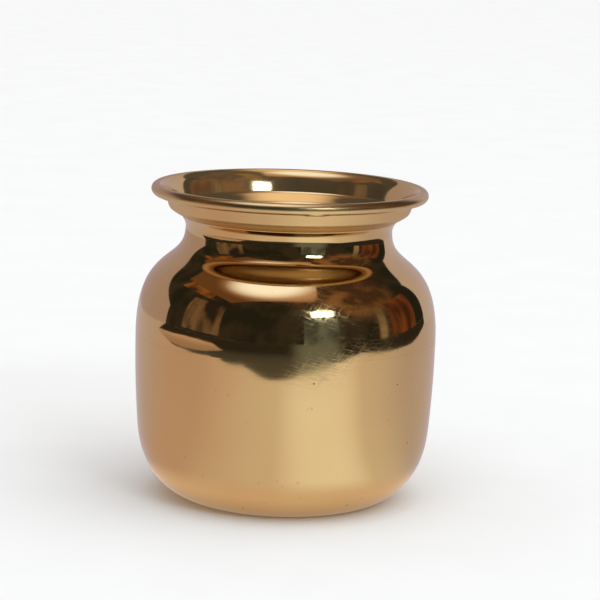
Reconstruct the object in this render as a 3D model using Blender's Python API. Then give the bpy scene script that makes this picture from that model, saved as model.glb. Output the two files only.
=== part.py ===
"""A polished brass lota: a small round water pot with a drawn-in neck and a flared, wired rim.

It is put together as it is in a brazier's shop: two spun halves lapped at the belly, a flared
collar set into the neck, its edge rolled round a wire, and a fillet of braze at each lap.
Metres, +Z up. The origin is the centre of the base, on the surface the pot stands on.
"""
import math

import bmesh
import bpy
from mathutils import Vector
from mathutils.geometry import interpolate_bezier

MM = 0.001

# Sheet, wire and fits
SHEET = 0.8 * MM                # thickness of the spun sheet
WIRE_DIAMETER = 1.66 * MM       # wire inside the rolled rim
CLEARANCE = 0.3 * MM            # gap between pieces that meet

# Outside form of the two halves, from the base up
BASE_RADIUS = 31.0 * MM         # flat that the pot stands on
HEEL_RISE = 24.1 * MM           # height of the round heel
HEEL_INSET = 1.3 * MM           # how far inside the belly the heel ends
BASE_PULL = 5.4 * MM            # curve handle along the base, where the heel starts
HEEL_PULL = 18.4 * MM           # curve handle down the wall, where the heel ends
WALL_RISE = 31.8 * MM           # heel to the widest point
BELLY_RADIUS = 51.0 * MM        # widest point, where the two halves meet
SHOULDER_RISE = 36.1 * MM       # widest point to the throat
BELLY_PULL = 29.4 * MM          # curve handle up from the belly
THROAT_PULL = 13.6 * MM         # curve handle down from the throat
THROAT_RADIUS = 34.9 * MM       # narrowest point
LIP_RISE = 3.9 * MM             # throat to the lip of the neck
LIP_FLARE = 1.5 * MM            # how far the lip spreads beyond the throat
LIP_ANGLE = math.radians(69.5)  # slope at the lip
LIP_PULL = 0.64 * MM            # curve handle down from the lip

# Laps, where one piece sits inside another
BELLY_LAP = 5.0 * MM            # lower half standing up inside the upper one
JOGGLE = 3.0 * MM               # height over which the lower half steps in
NECK_LAP = 2.5 * MM             # collar reaching below the throat
BRAZE_LEG = 1.4 * MM            # height of a fillet of braze

# Collar and rolled rim
COLLAR_RISE = 8.7 * MM          # lip of the neck to the centre of the rim wire
COLLAR_SPREAD = 8.4 * MM        # lip of the neck out to the centre of the rim wire
FLARE_ANGLE = math.radians(30)  # slope at which the collar leaves the neck
FLARE_PULL = 3.1 * MM           # curve handle out from the lip
STEEP_RISE = 3.05 * MM          # lip up to the steepest place of the collar
STEEP_SPREAD = 4.3 * MM         # lip out to that place
STEEP_ANGLE = math.radians(70.3)    # slope there
STEEP_PULL = 0.96 * MM          # curve handle down from that place
RIM_PULL = 3.8 * MM             # curve handle up from that place
RIM_ANGLE = math.radians(28.6)  # slope at which the collar reaches the rim
ROLL_PULL = 2.0 * MM            # curve handle down from the rim
WRAP_ANGLE = math.radians(243)  # how far the edge is rolled round the wire
WIRE_GAP = 1.0 * MM             # between the two butted ends of the wire

# Facets
TURN_STEPS = 48
WIRE_SIDES = 2
HEEL_POINTS = 9
WALL_POINTS = 4
SHOULDER_POINTS = 13
LIP_POINTS = 7
FLARE_POINTS = 9
RIM_POINTS = 7
WRAP_POINTS = 11
SHARP_ANGLE = math.radians(40)

# Heights and radii that follow from the sizes above
heel_radius = BELLY_RADIUS - HEEL_INSET
belly_height = HEEL_RISE + WALL_RISE
throat_height = belly_height + SHOULDER_RISE
lip_radius = THROAT_RADIUS + LIP_FLARE
lip_height = throat_height + LIP_RISE
wire_ring_radius = lip_radius + COLLAR_SPREAD
wire_height = lip_height + COLLAR_RISE
roll_inner = WIRE_DIAMETER / 2 + CLEARANCE
roll_outer = roll_inner + SHEET


def point(radius, height):
    """A point of a turned outline."""
    return Vector((radius, height))


def curve(start, start_handle, end_handle, end, count):
    """Points along a Bezier curve, both ends included."""
    return [found.to_2d() for found in interpolate_bezier(start, start_handle, end_handle, end, count)]


def inset(outline, depth):
    """The outline moved by depth to its left side, which faces into the pot on the way up."""
    moved = []
    for index, here in enumerate(outline):
        before = outline[max(index - 1, 0)]
        after = outline[min(index + 1, len(outline) - 1)]
        normals = []
        for first, second in ((before, here), (here, after)):
            along = second - first
            if along.length > 0:
                normals.append(point(-along.y, along.x).normalized())
        blend = sum(normals, Vector((0, 0))).normalized()
        moved.append(here + blend * depth / blend.dot(normals[0]))
    return moved


def cut_at_line(outline, through, along):
    """Split an outline where it crosses a line; both parts get the crossing point."""
    across = point(-along.y, along.x)
    for index in range(len(outline) - 1):
        here = across.dot(outline[index] - through)
        after = across.dot(outline[index + 1] - through)
        if here * after <= 0 and here != after:
            crossing = outline[index].lerp(outline[index + 1], here / (here - after))
            return outline[:index + 1] + [crossing], [crossing] + outline[index + 1:]
    raise ValueError("the outline does not cross the line")


def cut_at_height(outline, height):
    """The parts of an outline below and above a height."""
    return cut_at_line(outline, point(0, height), point(1, 0))


def metal(name, colour, roughness):
    """A bare metal finish."""
    finish = bpy.data.materials.new(name)
    finish.use_nodes = True
    shader = finish.node_tree.nodes["Principled BSDF"]
    shader.inputs["Base Color"].default_value = (*colour, 1)
    shader.inputs["Metallic"].default_value = 1
    shader.inputs["Roughness"].default_value = roughness
    return finish


def place(name, data, height, finish):
    """Put a piece on the pot's axis at its own height."""
    piece = bpy.data.objects.new(name, data)
    bpy.context.collection.objects.link(piece)
    piece.location.z = height
    piece.parent = pot
    data.materials.append(finish)
    return piece


def turn(name, section, height, finish):
    """Spin a section about the pot's axis into one closed body."""
    shape = bmesh.new()
    corners = [shape.verts.new((spot.x, 0, spot.y - height)) for spot in section]
    edges = [shape.edges.new(pair) for pair in zip(corners, corners[1:])]
    if section[0].x > 0:
        edges.append(shape.edges.new((corners[-1], corners[0])))
    bmesh.ops.spin(shape, geom=corners + edges, cent=(0, 0, 0), axis=(0, 0, 1),
                   angle=math.tau, steps=TURN_STEPS, use_merge=True)
    bmesh.ops.remove_doubles(shape, verts=shape.verts, dist=0.001 * MM)
    bmesh.ops.recalc_face_normals(shape, faces=shape.faces)
    mesh = bpy.data.meshes.new(name)
    shape.to_mesh(mesh)
    shape.free()
    mesh.shade_smooth()
    mesh.set_sharp_from_angle(angle=SHARP_ANGLE)
    return place(name, mesh, height, finish)


for leftover in list(bpy.data.objects):
    bpy.data.objects.remove(leftover, do_unlink=True)

pot = bpy.data.objects.new("lota", None)
bpy.context.collection.objects.link(pot)

polished_brass = metal("polished_brass", (0.76, 0.53, 0.27), 0.12)
drawn_wire = metal("drawn_wire", (0.66, 0.50, 0.26), 0.35)
braze_metal = metal("braze_metal", (0.74, 0.58, 0.34), 0.40)

# Outside of the upper half: shoulder, throat and lip
belly_edge = point(BELLY_RADIUS, belly_height)
throat = point(THROAT_RADIUS, throat_height)
lip = point(lip_radius, lip_height)
shoulder = curve(belly_edge, belly_edge + point(0, BELLY_PULL),
                 throat - point(0, THROAT_PULL), throat, SHOULDER_POINTS)
lip_slope = point(math.cos(LIP_ANGLE), math.sin(LIP_ANGLE))
neck = curve(throat, throat + point(0, LIP_RISE / 2), lip - lip_slope * LIP_PULL, lip, LIP_POINTS)
upper_outside = shoulder + neck[1:]
upper_fit = inset(upper_outside, SHEET + CLEARANCE)
upper_fit_inside = inset(upper_outside, SHEET + CLEARANCE + SHEET)

# Lower half: a spun cup whose top edge steps in to stand inside the upper half
base_edge = point(BASE_RADIUS, 0)
heel_top = point(heel_radius, HEEL_RISE)
wall_corner = point(BELLY_RADIUS, HEEL_RISE + WALL_RISE / 2)
wall_slope = (wall_corner - heel_top).normalized()
heel = curve(base_edge, base_edge + point(BASE_PULL, 0),
             heel_top - wall_slope * HEEL_PULL, heel_top, HEEL_POINTS)
wall = curve(heel_top, heel_top.lerp(wall_corner, 2 / 3),
             belly_edge.lerp(wall_corner, 2 / 3), belly_edge, WALL_POINTS)
cup_outside, _ = cut_at_height(heel + wall[1:], belly_height - CLEARANCE)
cup_inside, _ = cut_at_height(inset(heel + wall[1:], SHEET), belly_height - JOGGLE)
spigot_outside, _ = cut_at_height(upper_fit, belly_height + BELLY_LAP)
spigot_inside, _ = cut_at_height(upper_fit_inside, belly_height + BELLY_LAP)
spigot_foot = point(spigot_outside[0].x, belly_height - CLEARANCE)
turn("lower_body",
     [point(0, SHEET)] + cup_inside + spigot_inside + spigot_outside[::-1] + [spigot_foot]
     + cup_outside[::-1] + [point(0, 0)],
     0, polished_brass)

# Upper half: spun shoulder and neck, its lip bevelled to seat the collar
flare = point(math.cos(FLARE_ANGLE), math.sin(FLARE_ANGLE))
upper_inside, _ = cut_at_line(inset(upper_outside, SHEET), lip, flare)
turn("upper_body", upper_inside + upper_outside[::-1], belly_height, polished_brass)

# Collar: a sleeve inside the neck, flaring out to an edge rolled round the wire
wire_spot = point(wire_ring_radius, wire_height)
seat = lip + point(-flare.y, flare.x) * CLEARANCE
below_seat, _ = cut_at_line(upper_fit, seat, flare)
_, sleeve = cut_at_height(below_seat, throat_height - NECK_LAP)
rim_slope = point(math.cos(RIM_ANGLE), math.sin(RIM_ANGLE))
roll_start = wire_spot + point(-rim_slope.y, rim_slope.x) * roll_inner
steep_spot = lip + point(STEEP_SPREAD, STEEP_RISE)
steep_slope = point(math.cos(STEEP_ANGLE), math.sin(STEEP_ANGLE))
flare_curve = curve(seat, seat + flare * FLARE_PULL,
                    steep_spot - steep_slope * STEEP_PULL, steep_spot, FLARE_POINTS)
rim_curve = curve(steep_spot, steep_spot + steep_slope * RIM_PULL,
                  roll_start - rim_slope * ROLL_PULL, roll_start, RIM_POINTS)
collar_outside = sleeve + flare_curve + rim_curve[1:]
collar_inside = inset(collar_outside, SHEET)
wrap_start = math.pi / 2 + RIM_ANGLE
wrap_turns = [wrap_start - WRAP_ANGLE * step / WRAP_POINTS for step in range(1, WRAP_POINTS + 1)]
roll_inside = [wire_spot + point(math.cos(way), math.sin(way)) * roll_inner for way in wrap_turns]
roll_outside = [wire_spot + point(math.cos(way), math.sin(way)) * roll_outer for way in wrap_turns]
turn("collar",
     collar_inside + roll_outside + roll_inside[::-1] + collar_outside[::-1],
     lip_height, polished_brass)

# Rim wire: one turn of drawn wire with butted ends
ring = bpy.data.curves.new("rim_wire", "CURVE")
ring.dimensions = "3D"
ring.bevel_depth = WIRE_DIAMETER / 2
ring.bevel_resolution = WIRE_SIDES
ring.use_fill_caps = True
half_gap = WIRE_GAP / 2 / wire_ring_radius
ways = [half_gap] + [math.tau * step / TURN_STEPS for step in range(1, TURN_STEPS)] + [math.tau - half_gap]
strand = ring.splines.new("POLY")
strand.points.add(len(ways) - 1)
for knot, way in zip(strand.points, ways):
    knot.co = (wire_ring_radius * math.cos(way), wire_ring_radius * math.sin(way), 0, 1)
place("rim_wire", ring, wire_height, drawn_wire)


def braze_fillet(name, foot_height, leg):
    """A fillet against the inside of the upper half; a negative leg runs down from its foot."""
    low, high = sorted((foot_height, foot_height + leg))
    _, above_low = cut_at_height(upper_fit, low)
    backing, _ = cut_at_height(above_low, high)
    foot = backing[0] if leg > 0 else backing[-1]
    turn(name, backing + [foot - point(SHEET, 0)], foot_height, braze_metal)


# Braze: one fillet above the belly lap and one below the neck lap
braze_fillet("belly_braze", belly_height + BELLY_LAP + CLEARANCE, BRAZE_LEG)
braze_fillet("neck_braze", throat_height - NECK_LAP - CLEARANCE, -BRAZE_LEG)
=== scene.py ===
import math

import bmesh
import bpy
from mathutils import Euler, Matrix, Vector, noise
from mathutils.geometry import interpolate_bezier


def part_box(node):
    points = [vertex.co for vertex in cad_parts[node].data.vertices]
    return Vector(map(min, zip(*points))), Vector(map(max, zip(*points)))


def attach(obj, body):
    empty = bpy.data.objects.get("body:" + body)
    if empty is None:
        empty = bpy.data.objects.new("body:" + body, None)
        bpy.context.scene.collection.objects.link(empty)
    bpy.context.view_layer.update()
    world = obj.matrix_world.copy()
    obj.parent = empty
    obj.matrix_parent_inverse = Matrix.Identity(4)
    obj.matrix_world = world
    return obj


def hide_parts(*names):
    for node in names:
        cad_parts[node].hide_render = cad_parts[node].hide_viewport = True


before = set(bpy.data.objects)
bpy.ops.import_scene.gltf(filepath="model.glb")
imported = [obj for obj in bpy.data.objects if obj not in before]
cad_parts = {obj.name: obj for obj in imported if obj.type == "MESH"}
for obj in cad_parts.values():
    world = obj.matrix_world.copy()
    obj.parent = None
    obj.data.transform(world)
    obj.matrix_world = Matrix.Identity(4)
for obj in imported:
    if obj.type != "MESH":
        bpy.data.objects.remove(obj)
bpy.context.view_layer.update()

# LOWER BODY
# A deep cup of thin brass sheet, spun over a former, with a flat base and a round heel.
# Its top edge is stepped in, so that it stands inside the upper half and lies flush outside.
MM = 0.001
SHEET = 0.8 * MM             # thickness of the spun sheet
HAIRLINE = 0.02 * MM         # closed joint between two brazed sheets
BASE_RADIUS = 31.0 * MM
HEEL_RISE = 24.1 * MM
HEEL_INSET = 1.3 * MM
BASE_PULL = 5.4 * MM
HEEL_PULL = 18.4 * MM
WALL_PULL = 2 / 3            # how far along each leg of the wall its bend is pulled
BASE_RINGS = (0, 0.1, 0.3, 0.5, 0.7, 0.85, 0.95)
HEEL_POINTS = 48
WALL_POINTS = 24
BELLY_LAP = 5.0 * MM
JOGGLE = 3.0 * MM
SPIGOT_DRAW = 0.2 * MM       # how far the standing edge leans in with the shoulder
BODY_TURNS = 256             # facets round the two halves
WAVER = 0.035 * MM           # how unevenly the sheet lay down on the former
WAVER_LENGTH = 24 * MM       # from one shallow hollow to the next
SHARP_ANGLE = math.radians(35)
RUB_SPOT = (18 * MM, -47 * MM, 66 * MM)      # middle of the place most rubbed in use
RUB_REACH = 27 * MM
RUB_CORE = 0.4 * RUB_REACH   # inside this the rubbing is heaviest
RUB_ELSEWHERE = 0.06
HAIR_DRAW = (30, 16, 1)      # how far the hair scratches of one rubbing are drawn out
HAIR_TURN = (0, 0.3, 0)
HAIR_WIDTH = 0.18 * MM
CROSS_DRAW = (26, 16, 1)     # and those of another rubbing that crosses it
CROSS_TURN = (0, -0.9, 0)
CROSS_WIDTH = 0.19 * MM
LINE_WIDTH = 0.7 * MM        # one line that the buffing wheel left
LINE_DRIFT = 0.03            # how slowly a line changes on its way round
SMUDGE_SIZE = 15 * MM
PIT_SPACING = 9 * MM
DRIFT_SIZE = 50 * MM         # from one cast of the brass to the next
FRECKLE_SIZE = 2.2 * MM
HAZE_FULL = 3.0              # haze at which a finish is wholly worn
TARNISH = (0.25, 0.15, 0.07)
POLISH_RELIEF = 0.0015 * MM

upper_low, upper_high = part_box("upper_body")
belly_height = upper_low[2]
belly_radius = upper_high[0]


def spot(radius, height):
    """A point of a turned outline."""
    return Vector((radius, height))


def bend(start, start_handle, end_handle, end, count):
    """Points along a smooth bend, both ends included."""
    return [found.to_2d() for found in interpolate_bezier(start, start_handle, end_handle, end, count)]


def inset(outline, depth):
    """The outline moved by depth to its left side, which faces into the pot on the way up."""
    moved = []
    for index, here in enumerate(outline):
        before = outline[max(index - 1, 0)]
        after = outline[min(index + 1, len(outline) - 1)]
        runs = [run for run in (here - before, after - here) if run.length > 0]
        sides = [spot(-run.y, run.x).normalized() for run in runs]
        middle = sum(sides, Vector((0, 0))).normalized()
        moved.append(here + middle * depth / middle.dot(sides[0]))
    return moved


def cut(outline, through, along):
    """An outline parted where it crosses a line; both parts get the crossing point."""
    across = spot(-along.y, along.x)
    for index in range(len(outline) - 1):
        here = across.dot(outline[index] - through)
        after = across.dot(outline[index + 1] - through)
        if here * after <= 0 and here != after:
            crossing = outline[index].lerp(outline[index + 1], here / (here - after))
            return outline[:index + 1] + [crossing], [crossing] + outline[index + 1:]


def up_to(outline, height):
    """The part of a rising outline below a height."""
    return cut(outline, spot(0, height), spot(1, 0))[0]


def up_from(outline, height):
    """The part of a rising outline above a height."""
    return cut(outline, spot(0, height), spot(1, 0))[1]


def spun_in(here, way):
    """Where a point of the outline really lies: a hair inside it, by the waver of the sheet."""
    place = Vector((here.x * math.cos(way), here.x * math.sin(way), here.y)) / WAVER_LENGTH
    depth = WAVER * (0.5 + 0.5 * max(-1.0, min(1.0, noise.noise(place))))
    radius = here.x - depth * min(1.0, here.x / BASE_RADIUS)
    return radius * math.cos(way), radius * math.sin(way), here.y


def turned(name, section_at, turns, finishes, finish_of=None):
    """A piece turned about the pot's axis; section_at gives its outline at one way round."""
    shape = bmesh.new()
    rings = []
    for step in range(turns):
        way = math.tau * step / turns
        rings.append([shape.verts.new(spun_in(here, way)) for here in section_at(way)])
    count = len(rings[0])
    closed = math.hypot(*rings[0][0].co.xy) > HAIRLINE
    for step, ring in enumerate(rings):
        beside = rings[(step + 1) % turns]
        for index in range(count if closed else count - 1):
            after = (index + 1) % count
            face = shape.faces.new((ring[index], ring[after], beside[after], beside[index]))
            face.material_index = finish_of(index) if finish_of else 0
    if not closed:
        poles = [corner for ring in rings for corner in (ring[0], ring[-1])]
        bmesh.ops.remove_doubles(shape, verts=poles, dist=HAIRLINE / 10)
    bmesh.ops.recalc_face_normals(shape, faces=shape.faces)
    mesh = bpy.data.meshes.new(name)
    shape.to_mesh(mesh)
    shape.free()
    for finish in finishes:
        mesh.materials.append(finish)
    mesh.shade_smooth()
    mesh.set_sharp_from_angle(angle=SHARP_ANGLE)
    piece = bpy.data.objects.new(name, mesh)
    bpy.context.collection.objects.link(piece)
    return piece


def add(tree, kind, inputs=(), **settings):
    """A shader node with its settings, and its inputs given by socket name or number."""
    made = tree.nodes.new("ShaderNode" + kind)
    for setting, value in settings.items():
        setattr(made, setting, value)
    for socket, value in dict(inputs).items():
        if isinstance(value, bpy.types.NodeSocket):
            tree.links.new(value, made.inputs[socket])
        else:
            made.inputs[socket].default_value = value
    return made


def place_on(tree, stretch=(1, 1, 1), turn=(0, 0, 0)):
    """Places on the object, turned and then drawn out so that a pattern can run into streaks."""
    where = add(tree, "TexCoord").outputs["Object"]
    drawn = add(tree, "Mapping", {"Vector": where, "Rotation": turn, "Scale": stretch},
                vector_type="TEXTURE")
    return drawn.outputs["Vector"]


def spread(tree, value, low, high, to_low=0.0, to_high=1.0):
    """A value's range from low to high drawn out to another range, and held at its ends."""
    return add(tree, "MapRange", {"Value": value, "From Min": low, "From Max": high,
                                  "To Min": to_low, "To Max": to_high}).outputs["Result"]


def grain(tree, place, size, detail, low, high):
    """A cloudy pattern of a given grain size, from 0 to 1."""
    cloud = add(tree, "TexNoise", {"Vector": place, "Scale": 1 / size, "Detail": detail})
    return spread(tree, cloud.outputs["Fac"], low, high)


def lathe_lines(tree, width):
    """Fine lines that run round the pot, as the buffing wheel and the lathe leave them."""
    where = place_on(tree)
    apart = add(tree, "SeparateXYZ", {"Vector": where})
    flat = add(tree, "VectorMath", {0: where, 1: (1, 1, 0)}, operation="MULTIPLY")
    out = add(tree, "VectorMath", {0: flat.outputs["Vector"]}, operation="LENGTH")
    slow = add(tree, "VectorMath", {0: flat.outputs["Vector"], "Scale": LINE_DRIFT}, operation="SCALE")
    lift = add(tree, "CombineXYZ", {"Z": out.outputs["Value"]})
    wound = add(tree, "VectorMath", {0: slow.outputs["Vector"], 1: lift.outputs["Vector"]},
                operation="ADD")
    cloud = add(tree, "TexNoise", {"Vector": wound.outputs["Vector"], "W": apart.outputs["Z"],
                                   "Scale": 1 / width, "Detail": 3.0}, noise_dimensions="4D")
    return spread(tree, cloud.outputs["Fac"], 0.3, 0.7)


def sums(tree, *parts):
    """A weighted sum of patterns, each given with its weight."""
    total = None
    for pattern, weight in parts:
        scaled = add(tree, "Math", {0: pattern, 1: weight}, operation="MULTIPLY").outputs["Value"]
        if total is not None:
            scaled = add(tree, "Math", {0: total, 1: scaled}, operation="ADD").outputs["Value"]
        total = scaled
    return total


def blend(tree, share, first, second):
    """Two colours mixed by a pattern; either may be a colour or another node's output."""
    mix = add(tree, "Mix", data_type="RGBA")
    tree.links.new(share, mix.inputs["Factor"])
    for number, colour in ((6, first), (7, second)):
        if isinstance(colour, bpy.types.NodeSocket):
            tree.links.new(colour, mix.inputs[number])
        else:
            mix.inputs[number].default_value = (*colour, 1)
    return mix.outputs[2]


def brass(name, rosy, yellow, stain, gloss, wear, relief, film=0.0):
    """Worked brass: colour that drifts, smudges, lathe lines, hair scratches and a few pits.

    The scratches crowd where the pot is most rubbed. The film is the share of a dull skin that the
    polishing wheel did not take off.
    """
    finish = bpy.data.materials.new(name)
    finish.use_nodes = True
    tree = finish.node_tree
    shader = tree.nodes["Principled BSDF"]
    shader.inputs["Metallic"].default_value = 1 - film
    even = place_on(tree)
    lines = lathe_lines(tree, LINE_WIDTH)
    smudge = grain(tree, even, SMUDGE_SIZE, 3.0, 0.42, 0.70)
    off_rub = add(tree, "VectorMath", {0: even, 1: RUB_SPOT}, operation="DISTANCE").outputs["Value"]
    rubbed = spread(tree, off_rub, RUB_REACH, RUB_CORE, RUB_ELSEWHERE, 1.0)
    one_way = grain(tree, place_on(tree, HAIR_DRAW, HAIR_TURN), HAIR_WIDTH, 0.0, 0.56, 0.74)
    other_way = grain(tree, place_on(tree, CROSS_DRAW, CROSS_TURN), CROSS_WIDTH, 0.0, 0.60, 0.78)
    hairs = add(tree, "Math", {0: one_way, 1: other_way}, operation="MAXIMUM").outputs["Value"]
    scratches = add(tree, "Math", {0: hairs, 1: rubbed}, operation="MULTIPLY").outputs["Value"]
    cells = add(tree, "TexVoronoi", {"Vector": even, "Scale": 1 / PIT_SPACING})
    pits = spread(tree, cells.outputs["Distance"], 0.038, 0.024)
    drift = blend(tree, grain(tree, even, DRIFT_SIZE, 2.0, 0.35, 0.65), rosy, yellow)
    freckled = blend(tree, grain(tree, even, FRECKLE_SIZE, 2.0, 0.70, 0.95), drift, stain)
    tree.links.new(blend(tree, pits, freckled, stain), shader.inputs["Base Color"])
    haze = sums(tree, (smudge, 0.35), (lines, 0.25), (rubbed, 0.25), (scratches, 1.65), (pits, 2.0))
    dulled = spread(tree, haze, 0.0, HAZE_FULL, gloss, gloss + HAZE_FULL * wear)
    tree.links.new(dulled, shader.inputs["Roughness"])
    height = sums(tree, (lines, 0.4), (scratches, -0.5), (pits, -9.0))
    bump = add(tree, "Bump", {"Height": height, "Distance": relief})
    tree.links.new(bump.outputs["Normal"], shader.inputs["Normal"])
    return finish


polished_brass = brass("polished_brass", (0.71, 0.475, 0.225), (0.73, 0.52, 0.245), TARNISH,
                       gloss=0.030, wear=0.11, relief=POLISH_RELIEF)
satin_brass = brass("satin_brass", (0.62, 0.43, 0.22), (0.66, 0.48, 0.23), (0.22, 0.13, 0.06),
                    gloss=0.16, wear=0.20, relief=0.008 * MM)

base_edge = spot(BASE_RADIUS, 0)
heel_top = spot(belly_radius - HEEL_INSET, HEEL_RISE)
wall_corner = spot(belly_radius, (HEEL_RISE + belly_height) / 2)
belly_edge = spot(belly_radius, belly_height)
wall_slope = (wall_corner - heel_top).normalized()
base_flat = [spot(BASE_RADIUS * share, 0) for share in BASE_RINGS]
heel = bend(base_edge, base_edge + spot(BASE_PULL, 0), heel_top - wall_slope * HEEL_PULL, heel_top,
            HEEL_POINTS)
wall = bend(heel_top, heel_top.lerp(wall_corner, WALL_PULL), belly_edge.lerp(wall_corner, WALL_PULL),
            belly_edge, WALL_POINTS)
cup_outside = base_flat + heel + wall[1:-1] + [belly_edge - spot(0, HAIRLINE)]
cup_inside = [here + spot(0, SHEET) for here in base_flat]
cup_inside += up_to(inset(heel + wall[1:], SHEET), belly_height - JOGGLE)
spigot_foot = spot(belly_radius - SHEET - HAIRLINE, belly_height - HAIRLINE)
spigot_top = spot(spigot_foot.x - SPIGOT_DRAW, belly_height + BELLY_LAP)
spigot_inside = [spigot_foot - spot(SHEET, 0), spigot_top - spot(SHEET, 0)]
lower_section = cup_inside + spigot_inside + [spigot_top, spigot_foot] + cup_outside[::-1]
lower_body = turned("lower_body_sheet", lambda way: lower_section, BODY_TURNS,
                    [polished_brass, satin_brass], lambda index: int(index <= len(cup_inside)))
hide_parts("lower_body")
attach(lower_body, "root")

# UPPER BODY
# The shoulder and neck, spun from a second piece of the same sheet and polished bright outside.
# Its skirt laps over the lower half at the widest point, and its lip carries the collar.
BELLY_PULL = 29.4 * MM
THROAT_PULL = 13.6 * MM
THROAT_RADIUS = 34.9 * MM
LIP_RISE = 3.9 * MM
LIP_FLARE = 1.5 * MM
LIP_ANGLE = math.radians(69.5)
LIP_PULL = 0.64 * MM
SHOULDER_POINTS = 80
NECK_POINTS = 24
FLARE_ANGLE = math.radians(30)

lip = spot(THROAT_RADIUS + LIP_FLARE, upper_high[2])
throat = spot(THROAT_RADIUS, lip.y - LIP_RISE)
shoulder = bend(belly_edge, belly_edge + spot(0, BELLY_PULL), throat - spot(0, THROAT_PULL), throat,
                SHOULDER_POINTS)
lip_slope = spot(math.cos(LIP_ANGLE), math.sin(LIP_ANGLE))
neck = bend(throat, throat + spot(0, LIP_RISE / 2), lip - lip_slope * LIP_PULL, lip, NECK_POINTS)
upper_outside = shoulder + neck[1:]
flare = spot(math.cos(FLARE_ANGLE), math.sin(FLARE_ANGLE))
upper_inside = cut(inset(upper_outside, SHEET), lip, flare)[0]
upper_section = upper_inside + upper_outside[::-1]
upper_body = turned("upper_body_sheet", lambda way: upper_section, BODY_TURNS,
                    [polished_brass, satin_brass], lambda index: int(index < len(upper_inside) - 1))
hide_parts("upper_body")
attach(upper_body, "root")

# COLLAR
# The flared mouth, a spun brass ring brazed inside the neck by its sleeve: buffed inside, as spun below.
# Its edge is rolled outwards over a wire by hand, so the raw edge underneath wanders and has a torn place.
NECK_LAP = 2.5 * MM
FLARE_PULL = 3.1 * MM
STEEP_RISE = 3.05 * MM               # lip up to the steepest place of the collar
STEEP_SPREAD = 4.3 * MM
STEEP_ANGLE = math.radians(70.3)
STEEP_PULL = 0.96 * MM
RIM_PULL = 3.8 * MM
RIM_ANGLE = math.radians(28.6)       # slope where the roll starts
ROLL_PULL = 2.0 * MM
WRAP_ANGLE = math.radians(226)
WRAP_WANDER = math.radians(12)
WANDER_LENGTH = 12 * MM
TEAR_WAY = math.radians(-79)         # just right of the front
TEAR_HALF_WIDTH = math.radians(6)
TEAR_SHORT = math.radians(40)        # edge missing where it tore
TEAR_LIFT = 0.3 * MM                 # edge bent away from the roll there
TEAR_BEND = 0.85                     # share of the roll after which the torn edge bends away
FLARE_POINTS = 36
RIM_POINTS = 28
COLLAR_TURNS = 400
WRAP_POINTS = 40

wire_low, wire_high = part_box("rim_wire")
collar_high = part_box("collar")[1]
wire_height = (wire_low[2] + wire_high[2]) / 2
roll_outer = collar_high[2] - wire_height
roll_inner = roll_outer - SHEET
wire_spot = spot(collar_high[0] - roll_outer, wire_height)
seat = lip + spot(-flare.y, flare.x) * HAIRLINE
rim_slope = spot(math.cos(RIM_ANGLE), math.sin(RIM_ANGLE))
roll_start = wire_spot + spot(-rim_slope.y, rim_slope.x) * roll_inner
steep_spot = lip + spot(STEEP_SPREAD, STEEP_RISE)
steep_slope = spot(math.cos(STEEP_ANGLE), math.sin(STEEP_ANGLE))
flare_bend = bend(seat, seat + flare * FLARE_PULL, steep_spot - steep_slope * STEEP_PULL, steep_spot,
                  FLARE_POINTS)
rim_bend = bend(steep_spot, steep_spot + steep_slope * RIM_PULL, roll_start - rim_slope * ROLL_PULL,
                roll_start, RIM_POINTS)
below_seat = cut(inset(upper_outside, SHEET + HAIRLINE), seat, flare)[0]
sleeve = up_from(below_seat, throat.y - NECK_LAP)
collar_outside = sleeve + flare_bend + rim_bend[1:]
collar_inside = inset(collar_outside, SHEET)


def torn(way):
    """How torn the raw edge is at this way round, from 0 to 1."""
    off = (way - TEAR_WAY + math.pi) % math.tau - math.pi
    return max(0.0, 1 - abs(off / TEAR_HALF_WIDTH)) ** 0.5


def collar_section(way):
    """The collar's outline, with the roll ending where the raw edge is at this way round."""
    place = Vector((math.cos(way), math.sin(way), 0)) * wire_spot.x / WANDER_LENGTH
    reach = WRAP_ANGLE + WRAP_WANDER * noise.noise(place) - TEAR_SHORT * torn(way)
    rolled_inside = []
    rolled_outside = []
    for step in range(1, WRAP_POINTS + 1):
        share = step / WRAP_POINTS
        turn = math.pi / 2 + RIM_ANGLE - reach * share
        lift = TEAR_LIFT * torn(way) * max(0.0, share - TEAR_BEND) / (1 - TEAR_BEND)
        toward = spot(math.cos(turn), math.sin(turn))
        rolled_inside.append(wire_spot + toward * (roll_inner + lift))
        rolled_outside.append(wire_spot + toward * (roll_outer + lift))
    return collar_inside + rolled_outside + rolled_inside[::-1] + collar_outside[::-1]


buffed_brass = brass("buffed_brass", (0.69, 0.465, 0.225), (0.71, 0.51, 0.245), TARNISH,
                     gloss=0.07, wear=0.10, relief=POLISH_RELIEF, film=0.09)
satin_rim = brass("satin_rim", (0.70, 0.47, 0.225), (0.72, 0.515, 0.245), TARNISH,
                  gloss=0.27, wear=0.11, relief=POLISH_RELIEF)
spun_brass = brass("spun_brass", (0.78, 0.525, 0.255), (0.80, 0.57, 0.275), TARNISH,
                   gloss=0.41, wear=0.11, relief=POLISH_RELIEF)


def collar_finish(index):
    """The mouth is buffed, the roll satin, and the underside left as it was spun."""
    if index < len(collar_inside) - 1:
        return 1
    return 2 if index >= len(collar_inside) + 2 * WRAP_POINTS else 0


collar = turned("collar_sheet", collar_section, COLLAR_TURNS,
                [satin_rim, buffed_brass, spun_brass], collar_finish)
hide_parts("collar")
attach(collar, "root")

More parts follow.
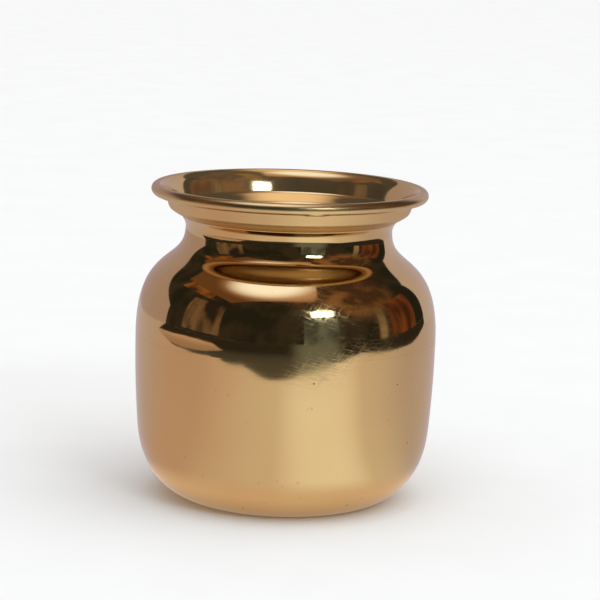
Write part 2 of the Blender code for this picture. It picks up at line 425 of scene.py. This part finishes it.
# RIM WIRE
# One turn of drawn wire, cut to length and butted, which stiffens the mouth.
# The rolled edge of the collar closes over it, so little more than a dark line of it ever shows.
WIRE_GAP = 1.0 * MM
WIRE_STEPS = 180
drawn_wire = brass("drawn_wire", (0.46, 0.34, 0.18), (0.60, 0.46, 0.24), (0.12, 0.08, 0.05),
                   gloss=0.28, wear=0.16, relief=0.01 * MM)
half_gap = WIRE_GAP / 2 / wire_spot.x
strand = bpy.data.curves.new("rim_wire_strand", "CURVE")
strand.dimensions = "3D"
strand.bevel_depth = (wire_high[2] - wire_low[2]) / 2
strand.bevel_resolution = 4
strand.use_fill_caps = True
strand.materials.append(drawn_wire)
run = strand.splines.new("POLY")
run.points.add(WIRE_STEPS)
for step, knot in enumerate(run.points):
    way = half_gap + (math.tau - 2 * half_gap) * step / WIRE_STEPS
    knot.co = (wire_spot.x * math.cos(way), wire_spot.x * math.sin(way), wire_height, 1)
rim_wire = bpy.data.objects.new("rim_wire_strand", strand)
bpy.context.collection.objects.link(rim_wire)
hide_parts("rim_wire")
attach(rim_wire, "root")

# BRAZE FILLETS
# Filler metal that ran into each lap and set as a narrow hollow fillet inside the pot.
# It is a paler, duller yellow than the sheet and swells a little where more of it gathered.
BRAZE_LEG = 1.4 * MM
BRAZE_SWELL = 0.3
BRAZE_SWELLS = 4             # how closely the swellings follow each other
BRAZE_HOLLOW = 0.3
FILLET_POINTS = 7
braze_metal = brass("braze_metal", (0.62, 0.48, 0.27), (0.70, 0.56, 0.34), (0.20, 0.14, 0.08),
                    gloss=0.30, wear=0.14, relief=0.02 * MM)


def braze_fillet(name, node, foot, tip):
    """A hollow fillet from a sheet's cut edge, at its foot, along the upper half's wall to its tip."""
    low, high = sorted((foot, tip))
    backing = up_from(up_to(inset(upper_outside, SHEET + HAIRLINE), high), low)
    corner, end = (backing[0], backing[-1]) if foot < tip else (backing[-1], backing[0])

    def section(way):
        gathered = noise.noise(Vector((math.cos(way), math.sin(way), foot / BRAZE_LEG)) * BRAZE_SWELLS)
        toe = corner - spot(SHEET * (1 - BRAZE_SWELL * (0.5 + 0.5 * gathered)), 0)
        hollow = corner.lerp(end, BRAZE_HOLLOW).lerp(toe, BRAZE_HOLLOW)
        face = bend(end, hollow, hollow, toe, FILLET_POINTS)
        return backing + face[1:] if foot < tip else backing + face[::-1][:-1]

    fillet = turned(name, section, BODY_TURNS, [braze_metal])
    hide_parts(node)
    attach(fillet, "root")


belly_foot = spigot_top.y + HAIRLINE
neck_foot = sleeve[0].y - HAIRLINE
braze_fillet("belly_braze_fillet", "belly_braze", belly_foot, belly_foot + BRAZE_LEG)
braze_fillet("neck_braze_fillet", "neck_braze", neck_foot, neck_foot - BRAZE_LEG)

# FLOOR
# A wide table top of matt white board, which runs on past the picture on every side.
# The pot stands loose on it, and its shadow falls there.
FLOOR_RADIUS = 9.0
FLOOR_SIDES = 96
FIBRE_SIZE = 40 * MM
FLOOR_DROP = 0.05 * MM
white_board = bpy.data.materials.new("white_board")
white_board.use_nodes = True
board_tree = white_board.node_tree
board = board_tree.nodes["Principled BSDF"]
board.inputs["Roughness"].default_value = 0.9
board.inputs["Specular IOR Level"].default_value = 0.0
fibres = grain(board_tree, place_on(board_tree), FIBRE_SIZE, 3.0, 0.3, 0.7)
board_white = blend(board_tree, fibres, (0.89, 0.89, 0.89), (0.91, 0.91, 0.91))
board_tree.links.new(board_white, board.inputs["Base Color"])
bpy.ops.mesh.primitive_circle_add(vertices=FLOOR_SIDES, radius=FLOOR_RADIUS, fill_type="NGON",
                                  location=(0, 0, -FLOOR_DROP))
floor = bpy.context.object
floor.name = "table_top"
floor.data.materials.append(white_board)
floor.visible_glossy = False

# WHAT THE POLISH SEES
# Cards round the pot, as a studio sets them for bright metal: white paper with a turned-up edge, a white
# board behind, dark felt and a dark screen past the paper, toned boards at the sides and a lit one overhead.
# They glow with painted light and shade, and show only as painted reflections in the metal.
PAPER_CORNERS = ((-2.6, 0.6), (-0.62, 0.21), (-0.40, 0.0), (-0.29, -0.19), (-0.15, -0.262),
                 (0.41, -0.27), (0.445, 0.14), (0.74, 0.6))
EDGE_STEPS = 40
EDGE_RIPPLE = 0.016
EDGE_RIPPLE_LENGTH = 0.11
BACK_HEIGHT = 0.575
FOLD_CORNERS = ((-116, 0.69), (-109, 0.645), (-94, 0.43), (-80, 0.39), (-58, 0.405), (-45, 0.49),
                (-55, 0.80), (-68, 0.92), (-80, 0.94), (-98, 0.76))
OVERHEAD_HEIGHT = 1.3
OVERHEAD_CORNERS = ((-1.25, -1.02), (0.50, -0.98), (0.50, -0.78), (0.32, -0.16),
                    (0.40, 0.75), (-1.25, 0.70))
SIDE_DISTANCE = 2.4
SIDE_BOARDS = (("window_board", (14, 41), (0, 24), (0.07, 0.085, 0.085), (0.19, 0.24, 0.26)),
               ("left_board", (-85, -51), (2, 32), (0.03, 0.022, 0.02), (0.20, 0.135, 0.09)),
               ("high_left_board", (-112, -62), (35, 54), (0.04, 0.025, 0.02), (0.30, 0.12, 0.04)),
               ("right_post", (76, 83), (0, 27), (0.16, 0.12, 0.08), (0.36, 0.28, 0.20)),
               ("right_board", (88, 117), (0, 28), (0.06, 0.025, 0.015), (0.22, 0.08, 0.035)))
SCREEN_RADIUS = 3.2
FELT_STEP = 5                # degrees from one corner of the round felt to the next
FELT_DROP = 1 * MM


def outward(bearing, rise=0.0):
    """The way out from the pot at a bearing from the camera's side and a height, both in degrees."""
    side = math.radians(bearing)
    up = math.radians(rise)
    return Vector((math.sin(side) * math.cos(up), -math.cos(side) * math.cos(up), math.sin(up)))


def facing(tree, bearing, rise, full, none):
    """How nearly a place lies in one direction from the pot: 1 within the angle full, 0 beyond none."""
    way = add(tree, "VectorMath", {0: place_on(tree)}, operation="NORMALIZE").outputs["Vector"]
    match = add(tree, "VectorMath", {0: way, 1: outward(bearing, rise)}, operation="DOT_PRODUCT")
    return add(tree, "MapRange", {"Value": match.outputs["Value"],
                                  "From Min": math.cos(math.radians(none)),
                                  "From Max": math.cos(math.radians(full))},
               interpolation_type="SMOOTHSTEP").outputs["Result"]


def far_out(tree, near, far):
    """How far a place lies from the pot: 0 at near, 1 at far."""
    out = add(tree, "VectorMath", {0: place_on(tree)}, operation="LENGTH").outputs["Value"]
    return add(tree, "MapRange", {"Value": out, "From Min": near, "From Max": far},
               interpolation_type="SMOOTHSTEP").outputs["Result"]


def card(name, colour_of, corners, faces=None):
    """A glowing stage card with painted light and shade: it throws no light or shade and shows only in the
    polish.
    """
    finish = bpy.data.materials.new(name)
    finish.use_nodes = True
    tree = finish.node_tree
    tree.nodes.clear()
    glow = add(tree, "Emission", {"Color": colour_of(tree)})
    add(tree, "OutputMaterial", {"Surface": glow.outputs["Emission"]})
    mesh = bpy.data.meshes.new(name)
    mesh.from_pydata(corners, [], faces or [range(len(corners))])
    mesh.materials.append(finish)
    sheet = bpy.data.objects.new(name, mesh)
    bpy.context.collection.objects.link(sheet)
    sheet.visible_camera = False
    sheet.visible_diffuse = False
    sheet.visible_transmission = False
    sheet.visible_volume_scatter = False
    sheet.visible_shadow = False


def paper_colour(tree):
    """White paper in painted light and shade: a painted pool of light to the front right, warmer half shade
    to the left, and painted shadow close under the pot.
    """
    painted_half_shade = blend(tree, facing(tree, -62, 0, 12, 58), (0.57, 0.51, 0.56), (0.62, 0.485, 0.46))
    lit = blend(tree, facing(tree, 18, 0, 20, 85), painted_half_shade, (0.78, 0.73, 0.70))
    # Painted pool of light to the front right.
    painted_light_pool = blend(tree, facing(tree, 25, 0, 2, 32), lit, (1.0, 1.0, 1.0))
    # Painted shadow close under the pot, darkest nearest its foot.
    under = blend(tree, far_out(tree, 0.030, 0.048), (0.40, 0.30, 0.23), (0.80, 0.66, 0.57))
    return blend(tree, far_out(tree, 0.046, 0.064), under, painted_light_pool)


def back_colour(tree):
    """The white board behind, in fuller light to the right than to the left."""
    return blend(tree, facing(tree, -130, 20, 20, 95), (0.60, 0.56, 0.62), (0.46, 0.38, 0.42))


def fold_colour(tree):
    """A turned-up edge of the paper, in warm half shade."""
    return blend(tree, far_out(tree, 0.40, 0.85), (0.40, 0.29, 0.24), (0.64, 0.47, 0.40))


def felt_colour(tree):
    """Dark grey felt past the paper, lost in shade farther out except under the window lamp."""
    shade = blend(tree, far_out(tree, 0.30, 0.60), (0.085, 0.090, 0.080), (0.030, 0.029, 0.026))
    return blend(tree, facing(tree, 24, 0, 7, 22), shade, (0.17, 0.20, 0.20))


def overhead_colour(tree):
    """A board in painted light, nearly white in the middle, tan round that and lost in brown shade to the
    left, with a painted lamp glow high behind.
    """
    tan = blend(tree, facing(tree, -10, 80, 17, 36), (0.16, 0.08, 0.04), (0.66, 0.45, 0.32))
    front = blend(tree, facing(tree, -40, 77, 8, 25), tan, (1.38, 1.60, 2.05))
    # A painted lamp glow on the board, high behind the pot.
    return blend(tree, facing(tree, 180, 68, 3, 15), front, (1.25, 1.08, 0.85))


def screen_colour(tree):
    """Deep shade, a little uneven."""
    shapes = grain(tree, place_on(tree, (1, 1, 2)), 0.9, 3.0, 0.45, 0.60)
    shade = blend(tree, shapes, (0.021, 0.022, 0.019), (0.042, 0.036, 0.029))
    high_right = facing(tree, 68, 55, 18, 42)
    brown = blend(tree, shapes, (0.07, 0.04, 0.025), (0.27, 0.145, 0.07))
    return blend(tree, high_right, shade, brown)


def side_board_colour(dark, pale):
    """A colour for a board at the side, with uneven upright bands of shade across it."""
    def banded(tree):
        bands = grain(tree, place_on(tree, (1, 1, 5)), 0.55, 3.0, 0.40, 0.58)
        return blend(tree, bands, dark, pale)

    return banded


paper_edge = []
for start, end in zip(PAPER_CORNERS, PAPER_CORNERS[1:]):
    for step in range(EDGE_STEPS):
        here = Vector((*start, 0)).lerp(Vector((*end, 0)), step / EDGE_STEPS)
        paper_edge.append(here + Vector((0, EDGE_RIPPLE * noise.noise(here / EDGE_RIPPLE_LENGTH), 0)))
paper_edge.append(Vector((*PAPER_CORNERS[-1], 0)))
card("white_paper", paper_colour, paper_edge)
left_end = Vector((*PAPER_CORNERS[0], 0))
right_end = Vector((*PAPER_CORNERS[-1], 0))
up = Vector((0, 0, BACK_HEIGHT))
card("back_board", back_colour, [left_end, right_end, right_end + up, left_end + up])
card("paper_fold", fold_colour, [outward(bearing) * reach for bearing, reach in FOLD_CORNERS])
for name, bearings, rises, dark, pale in SIDE_BOARDS:
    low_left, low_right = (outward(bearing, rises[0]) * SIDE_DISTANCE for bearing in bearings)
    high_left, high_right = (outward(bearing, rises[1]) * SIDE_DISTANCE for bearing in bearings)
    card(name, side_board_colour(dark, pale), [low_left, low_right, high_right, high_left])
card("overhead_board", overhead_colour, [(*corner, OVERHEAD_HEIGHT) for corner in OVERHEAD_CORNERS])
felt_middle = Vector((0, 0, -FELT_DROP))
felt_edge = [felt_middle + outward(bearing) * SCREEN_RADIUS for bearing in range(0, 360, FELT_STEP)]
card("dark_felt", felt_colour, felt_edge)

# The dark screen is a dome of painted shade all round, seen only in the polish.
SCREEN_COLUMNS = 72
SCREEN_ROWS = 24
screen_corners = []
screen_faces = []
for row in range(SCREEN_ROWS + 1):
    for column in range(SCREEN_COLUMNS):
        way_out = outward(360 * column / SCREEN_COLUMNS, 90 * row / SCREEN_ROWS)
        screen_corners.append(way_out * SCREEN_RADIUS)
for row in range(SCREEN_ROWS):
    for column in range(SCREEN_COLUMNS):
        beside = (column + 1) % SCREEN_COLUMNS
        low = row * SCREEN_COLUMNS
        high = low + SCREEN_COLUMNS
        screen_faces.append((low + column, low + beside, high + beside, high + column))
card("dark_screen", screen_colour, screen_corners, screen_faces)

# LIGHT
# A pale tent all round, a broad soft overhead lamp, and a small window lamp that makes the highlights.
# The overhead lamp is kept out of the polish, which would show it as a highlight of its own.
tent = bpy.data.worlds.new("pale_tent")
bpy.context.scene.world = tent
tent.use_nodes = True
tent_light = tent.node_tree.nodes["Background"]
tent_light.inputs["Color"].default_value = (1, 1, 1, 1)
tent_light.inputs["Strength"].default_value = 0.60


def hang(name, lamp, bearing, rise, distance):
    """Put a lamp in its place, facing the pot."""
    stand = bpy.data.objects.new(name, lamp)
    stand.location = outward(bearing, rise) * distance
    stand.rotation_euler = outward(bearing, rise).to_track_quat("Z", "Y").to_euler()
    bpy.context.collection.objects.link(stand)
    return stand


overhead = bpy.data.lights.new("overhead_lamp", "SUN")
overhead.energy = 1.5
overhead.angle = math.radians(80)
hang("overhead_lamp", overhead, bearing=40, rise=66, distance=2.0).visible_glossy = False

WINDOW_WIDTH = 0.80
WINDOW_HEIGHT = 0.37
WINDOW_RADIANCE = 12.0
window = bpy.data.lights.new("window_lamp", "AREA")
window.shape = "RECTANGLE"
window.size = WINDOW_WIDTH
window.size_y = WINDOW_HEIGHT
window.color = (0.75, 0.93, 1.0)
window.energy = WINDOW_RADIANCE * math.pi * WINDOW_WIDTH * WINDOW_HEIGHT
hang("window_lamp", window, bearing=30, rise=30.4, distance=3.0)

# CAMERA
# A long lens a little above the rim, set where the photograph was taken, and rolled as it was held.
# It is turned so that the pot stands a little left of the middle of the picture and below it.
FRAME_PIXELS = 600
FOCAL_PIXELS = 2500
SENSOR = 36.0
AIM_HEIGHT = 57.8 * MM
AIM_PIXEL = Vector((285.8, 327.4))
CAMERA_DISTANCE = 0.8506
CAMERA_RISE = 10.69
CAMERA_ROLL = math.radians(1.83)

lens = bpy.data.cameras.new("camera")
lens.sensor_width = SENSOR
lens.lens = SENSOR * FOCAL_PIXELS / FRAME_PIXELS
lens.clip_start = 0.01
camera = bpy.data.objects.new("camera", lens)
bpy.context.collection.objects.link(camera)
away = outward(0, CAMERA_RISE)
off_centre = AIM_PIXEL - Vector((FRAME_PIXELS, FRAME_PIXELS)) / 2
seen_at = Vector((off_centre.x, -off_centre.y, -FOCAL_PIXELS))
level = away.to_track_quat("Z", "Y")
roll = Euler((0, 0, CAMERA_ROLL)).to_quaternion()
recentre = seen_at.rotation_difference(Vector((0, 0, -1)))
camera.rotation_mode = "QUATERNION"
camera.rotation_quaternion = level @ roll @ recentre
camera.location = away * CAMERA_DISTANCE + Vector((0, 0, AIM_HEIGHT))
bpy.context.scene.camera = camera
bpy.context.scene.view_settings.view_transform = "Standard"

bpy.context.view_layer.update()
